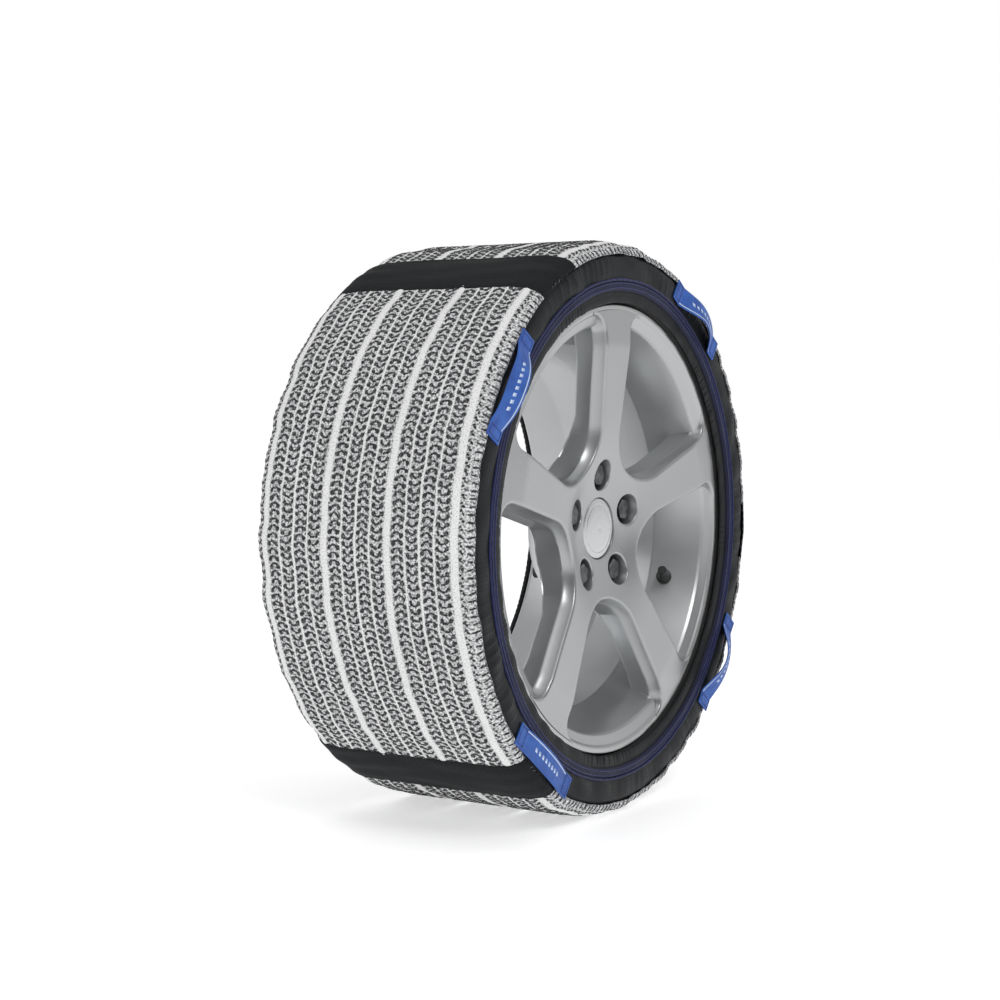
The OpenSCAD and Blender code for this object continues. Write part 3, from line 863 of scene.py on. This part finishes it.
# A window between two spokes, [across, out] from its middle line: an inner arc, a side and a corner arc.
CORNER, CORNER_R = np.array([87.4, 202.8]), 20.0
INNER, INNER_R = np.array([0.0, 140.0]), 61.0
SECTOR = TAU / 5
CAP_EDGE_R, POCKET_R, BOLT_R, HOLE_R = 38.0, 17.0, 60.0, 7.75
HUB_END_R, CREASE_R, FACE_END_R = 93.0, 205.0, 243.2
CREASE_Y, FALL = -126.6, 0.05
FACE = smooth_line([(38, -101.6), (60, -105.8), (90, -113.5), (120, -118.2), (160, -122),
                    (CREASE_R, CREASE_Y)], 0.5)
BACK = np.array([(84, -66.0), (90, -72.0), (130, -87.0), (190, -92.0), (217, -90.0)])
SEAT_Y, PAD_Y = -70.0, -55.0
# Round a window's edge: [into the spoke (+) or the window (-), how far behind the face].
EDGE = [(3.4, 0.0), (2.2, 0.22), (1.25, 0.62), (0.5, 1.25), (0.0, 2.1), (-0.3, 3.2), (-4.4, 12.0),
        (-5.5, 13.2), (-6.1, 15.5)]


def face_y(r):
    """Height of the wheel's face by radius: a dished curve up to a crease, then a fall to the rim."""
    return np.where(r > CREASE_R, CREASE_Y + FALL * (r - CREASE_R), np.interp(r, FACE[:, 0], FACE[:, 1]))


def back_y(r):
    """Height of the spokes' back by radius."""
    return np.interp(r, BACK[:, 0], BACK[:, 1])


def away(flat):
    """Distance of [across, out] points from the axis."""
    return np.hypot(flat[..., 0], flat[..., 1])


def window_side():
    """Half of a window's outline, from its inner end to the rim."""
    d = CORNER - INNER
    turn = math.atan2(d[1], d[0]) - math.acos((INNER_R - CORNER_R) / np.linalg.norm(d))

    def arc(centre, radius, angles):
        return [centre + radius * np.array([math.cos(a), math.sin(a)]) for a in angles]

    inner = arc(INNER, INNER_R, np.linspace(-math.pi / 2, turn, 44))
    outer = arc(CORNER, CORNER_R, np.linspace(turn, math.atan2(CORNER[1], CORNER[0]), 30))
    straight = [inner[-1] + (outer[0] - inner[-1]) * t for t in np.linspace(0, 1, 22)[1:-1]]
    return np.array(inner + straight + outer)


def beside_spoke(offset):
    """The window's outline moved by `offset` towards the spoke, in the spoke's own [across, out]."""
    line = window_side()
    along = np.gradient(line, axis=0)
    along /= np.linalg.norm(along, axis=1)[:, None]
    line = line + offset * np.stack([along[:, 1], -along[:, 0]], -1)
    a = SECTOR / 2
    return np.stack([math.sin(a) * line[:, 1] - math.cos(a) * line[:, 0],
                     math.cos(a) * line[:, 1] + math.sin(a) * line[:, 0]], -1)


def raised(flat, y):
    """[across, out] and a height, as points of the spoke that stands straight up."""
    y = np.broadcast_to(y, flat.shape[:-1])
    return np.stack([flat[..., 0] * MM, y * MM + MID, flat[..., 1] * MM], -1)


def face_patches():
    """Grids of points for one fifth of the hub and spokes: both sides of a spoke, its face, its back,
    and the hub's face round a bolt's pocket."""
    mirror = np.array([-1.0, 1.0])
    rows = []
    for offset, drop in EDGE:
        flat = beside_spoke(offset)
        rows.append((flat, face_y(np.minimum(away(flat), FACE_END_R)) + drop))
    for offset, lift in ((-7.2, -1.6), (-8.2, 0.0)):
        flat = beside_spoke(offset)
        rows.append((flat, back_y(away(flat)) + lift))
    patches = [np.array([raised(flat * side, y) for flat, y in rows]) for side in (mirror, np.ones(2))]

    def across(edge, height, count):
        r = away(edge)
        turn = np.arctan2(edge[:, 0], edge[:, 1])[:, None] * np.linspace(-1, 1, count)
        flat = np.stack([r[:, None] * np.sin(turn), r[:, None] * np.cos(turn)], -1)
        return flat, height(r)[:, None]

    edge = rows[0][0]
    r = away(edge)
    first, last = (int(np.argmax(r > end)) for end in (HUB_END_R, FACE_END_R))
    flat, y = across(edge[first:last], face_y, 37)
    patches += [raised(flat, y), raised(*across(rows[-1][0], back_y, 13))]

    # Round the bolt's pocket: rays from the pocket to the patch's border.
    turn = np.linspace(0, SECTOR / 2, 17)
    inner_arc = CAP_EDGE_R * np.stack([np.sin(turn), np.cos(turn)], -1)
    seam = np.array([math.sin(SECTOR / 2), math.cos(SECTOR / 2)])
    border = np.linspace(CAP_EDGE_R, r[0], 16)[1:-1, None] * seam
    half = np.vstack([inner_arc, border, edge[:first], flat[0, :17:-1]])
    ring = np.vstack([half, (half * mirror)[-2:0:-1]])
    centre = np.array([0, BOLT_R])
    ray = ring - centre
    ray /= np.linalg.norm(ray, axis=1)[:, None]
    start = centre + ray * (POCKET_R + 1.6)
    t = np.linspace(0, 1, 12)[:, None, None]
    flat = start + (ring - start) * t
    hub = raised(flat, face_y(away(flat)))
    at_edge = face_y(away(start))
    rim = [raised(centre + ray * (POCKET_R + out), at_edge + drop)
           for out, drop in ((0.1, 1.5), (0.45, 0.7), (1.0, 0.25))]
    well = [raised(centre + ray * radius, y)
            for radius, y in ((HOLE_R, PAD_Y), (HOLE_R, SEAT_Y), (POCKET_R, SEAT_Y))]
    patches.append(np.concatenate([well, rim, hub])[:, list(range(len(ring))) + [0]])
    return patches


def wheel_face():
    """The hub and the five spokes as one skin, with the centre bore."""
    grids = []
    for k in range(5):
        cos, sin = math.cos(k * SECTOR), math.sin(k * SECTOR)
        turn = np.array([[cos, 0, -sin], [0, 1, 0], [sin, 0, cos]])
        grids += [patch @ turn for patch in face_patches()]
    middle = [(CAP_EDGE_R, -101.6), (36.2, -101.5), (34.9, -100.9), (34.6, -99.8), (34.6, -95.5),
              (30.2, -95.5), (30, -79), (36.3, -73), (36.3, -55.6), (36.9, PAD_Y), (75.4, PAD_Y),
              (76.6, -55.6), (84, -66), (87.3, -69.3)]
    r, y = np.array(middle).T
    grids.append(placed(r[:, None], y[:, None], math.pi / 2 + np.linspace(0, TAU, 5 * 32 + 1)))
    starts = np.cumsum([0] + [grid[..., 0].size for grid in grids])
    faces = np.vstack([quads(*grid.shape[:2]) + start for grid, start in zip(grids, starts)])
    points = np.vstack([grid.reshape(-1, 3) for grid in grids])
    mesh = make_mesh("wheel_face", points, faces, ["alloy"]).data
    faced_outwards(mesh, merge=0.00003)
    mesh.set_sharp_from_angle(angle=math.radians(33))
    ride(bpy.data.objects["wheel_face"], "wheel", ["wheel_hub", "wheel_spokes"])


# ---------- wheel: rim, tyre, cap and small parts ----------

# Closed outline of the rim, [radius, y], from its outboard lip along the barrel and back under the tyre.
RIM = [(248.5, -123.4), (247.6, -124.2), (243.6, -124.2), (241.6, -123.4), (239.2, -120.6), (229.4, -117.4),
       (227.0, -114.0), (205, -62), (205, -4), (225.5, 64), (225.5, 117), (236, 124), (238, 127),
       (247.3, 127), (248.5, 125.5), (248.5, 120), (246, 116.5), (240, 114.3), (231, 114.3), (231, 96),
       (232.3, 92), (231, 88), (231, 70), (211, 2), (211, -58), (221, -82), (229.5, -87), (231, -88),
       (232.3, -92), (231, -96), (231, -114.3), (240, -114.3), (246, -116.5), (248.5, -120)]
# Half of the tyre's inner and outer outline.
LINER = [(231.7, 95), (236, 93), (245, 99), (254, 106.5), (263, 112.5), (274, 115.5), (286, 113.8),
         (295, 107), (300.5, 96), (302.8, 80), (303.4, 40), (303.5, 0)]
WALL = [(314.3, 0), (314.25, 30), (314.2, 55), (313.6, 83), (312.2, 97), (309, 107), (303, 115),
        (293, 121.5), (282, 125.3), (272, 126.5), (263, 126), (256, 125), (251.5, 122.2), (249.4, 118),
        (246.5, 115.2), (240.3, 113.6), (231.7, 113.4)]
GROOVES = (-72, -26, 26, 72)
PITCHES = 60


def tyre():
    """The tyre: grooved tread blocks, ribs on its shoulders, and plain side walls with a few fine rings."""
    outer, inner = smooth_line(WALL, 1.9), smooth_line(LINER, 4.0)
    half = np.vstack([outer, inner])
    line = np.vstack([half, (half * [1, -1])[-2:0:-1]])
    phi = np.linspace(0, TAU, PITCHES * 10, endpoint=False)
    r, y = line[:, :1], line[:, 1:]
    counts = (len(outer), 2 * len(inner) - 1, len(outer) - 1)
    on_outside = np.repeat([1.0, 0.0, 1.0], counts)[:, None]
    groove = sum(np.clip(1.6 - np.abs(y - g) / 4.5, 0, 1) for g in GROOVES)
    slant = np.abs(((PITCHES * (phi + y * 0.0011 * np.sign(y)) / TAU) % 1) - 0.5) * 2
    beside_rib = np.clip((112 - np.abs(y)) / 6, 0, 1) * np.clip((np.abs(y) - 27) / 3, 0, 1)
    block = np.clip((slant - 0.78) / 0.12, 0, 1) * beside_rib
    on_tread = on_outside * np.clip((r - 306) / 3, 0, 1)
    depth = on_tread * np.maximum(7 * groove, 4.2 * block)
    rings = on_outside * sum(0.35 * np.exp(-((r - at) / 1.0) ** 2) for at in (268, 289, 292.5, 297))
    points = placed(r - depth, y + np.sign(y) * rings, phi)
    points[..., 2] = np.maximum(points[..., 2], FLOOR + 0.0022)
    u, v = np.arange(len(line) + 1) * 0.002, np.linspace(0, TAU, len(phi) + 1) * 0.3
    body = grid_mesh("tyre_body", points, u, v, ["tyre"], TORUS, sharp=42, outwards=True)
    ride(body, "wheel", ["tyre"])


def centre_cap():
    """A plain domed cap with a fine ring groove and no mark, on its stub of skirt."""
    turned("cap_cover", [
        (0.02, -102.3), (9, -102.2), (20, -101.7), (26.4, -101.15), (26.9, -100.75), (27.5, -101.05),
        (31, -100.6), (33.2, -99.9), (34.0, -98.6), (34.0, -95.7), (29.6, -95.7), (29.6, -82.5),
        (27.4, -82.5), (27.4, -96.5), (0.02, -96.5),
    ], "cap", "cap", ["center_cap"], 180, 40)


def dressed(node, material, bevel=None):
    """Gives a CAD node its material and, where asked, fine rounded edges."""
    for part in bpy.data.objects:
        if part.type != "MESH" or not (part.name == node or part.name.startswith(node + ".")):
            continue
        part.data.materials.clear()
        part.data.materials.append(M[material])
        if bevel:
            edge = part.modifiers.new("edges", "BEVEL")
            edge.width = bevel * MM
            edge.segments = 2
            edge.limit_method = "ANGLE"
            edge.angle_limit = math.radians(35)


wheel_face()
turned("rim_shell", RIM, "alloy_rim", "wheel", ["rim_outboard", "rim_inboard"], 300, 36)
tyre()
centre_cap()
for node, material, bevel in (
    ("wheel_bolts", "steel", 0.5), ("cap_retaining_ring", "steel", None), ("valve_body", "valve", 0.25),
    ("valve_stem", "brass", 0.15), ("valve_core", "brass", 0.1), ("valve_cap", "valve", 0.35),
    ("outer_elastic_cord", "elastic", None), ("inner_elastic_cord", "elastic", None),
):
    dressed(node, material, bevel)


# ---------- floor, lights and camera ----------

GREY = 0.24


def backdrop():
    """A wide pale floor under the ground contact."""
    size, z = 14.0, FLOOR - 0.0006
    corners = [(-size, -size, z), (size, -size, z), (size, size, z), (-size, size, z)]
    make_mesh("floor", corners, [(0, 1, 2, 3)], ["floor"])


def aimed(name, data, place, look):
    """Puts a light or a camera at a place, looking along a direction."""
    holder = bpy.data.objects.new(name, data)
    holder.location = place
    holder.rotation_mode = "QUATERNION"
    holder.rotation_quaternion = look.to_track_quat("-Z", "Y")
    bpy.context.scene.collection.objects.link(holder)
    return holder


def area_light(name, place, power, size):
    light = bpy.data.lights.new(name, "AREA")
    light.energy, light.size = power, size
    aimed(name, light, place, -Vector(place))


def back(azimuth, elevation):
    """The direction from what is looked at back to the camera, in degrees."""
    a, e = math.radians(azimuth), math.radians(elevation)
    return Vector((math.sin(a) * math.cos(e), -math.cos(a) * math.cos(e), math.sin(e)))


def surroundings():
    """A studio as a world: white behind the object, a soft panel, grey round it, and a pale ceiling."""
    world = bpy.data.worlds.new("studio")
    world.use_nodes = True
    sky = Graph(world.node_tree)
    direction = sky.tree.nodes.new("ShaderNodeTexCoord").outputs["Generated"]

    def facing(toward, low, high, bright=1.0):
        dot = sky.tree.nodes.new("ShaderNodeVectorMath")
        dot.operation = "DOT_PRODUCT"
        sky.link(direction, dot, 0)
        sky.link(toward, dot, 1)
        return sky.ramp(dot.outputs["Value"], low, high, 0.0, bright)

    wall = facing((0.84, 0.54, 0.0), 0.62, 0.84)
    panel = facing((0.83, -0.48, 0.28), 0.90, 0.95, 0.8)
    ceiling = facing((0.0, 0.0, 1.0), 0.25, 1.05)
    light = sky.math("MAXIMUM", sky.math("MAXIMUM", wall, panel), sky.math("MAXIMUM", ceiling, GREY))
    sky.link(light, sky.tree.nodes["Background"], "Color")
    return world


def light_and_camera():
    scene = bpy.context.scene
    scene.world = surroundings()
    scene.view_settings.view_transform = "Standard"
    area_light("key", (-1.6, -2.4, 2.4), 32, 1.2)
    area_light("rear", (-2.2, 1.6, 1.8), 14, 1.4)
    camera = bpy.data.cameras.new("camera")
    camera.lens, camera.sensor_width = 68.4, 36
    camera.clip_start, camera.clip_end = 0.05, 60
    place = Vector((0, -0.072, 0)) + 2.112 * back(-61.12, 4.5)
    scene.camera = aimed("camera", camera, place, -back(-57.52, 3.62))


backdrop()
light_and_camera()
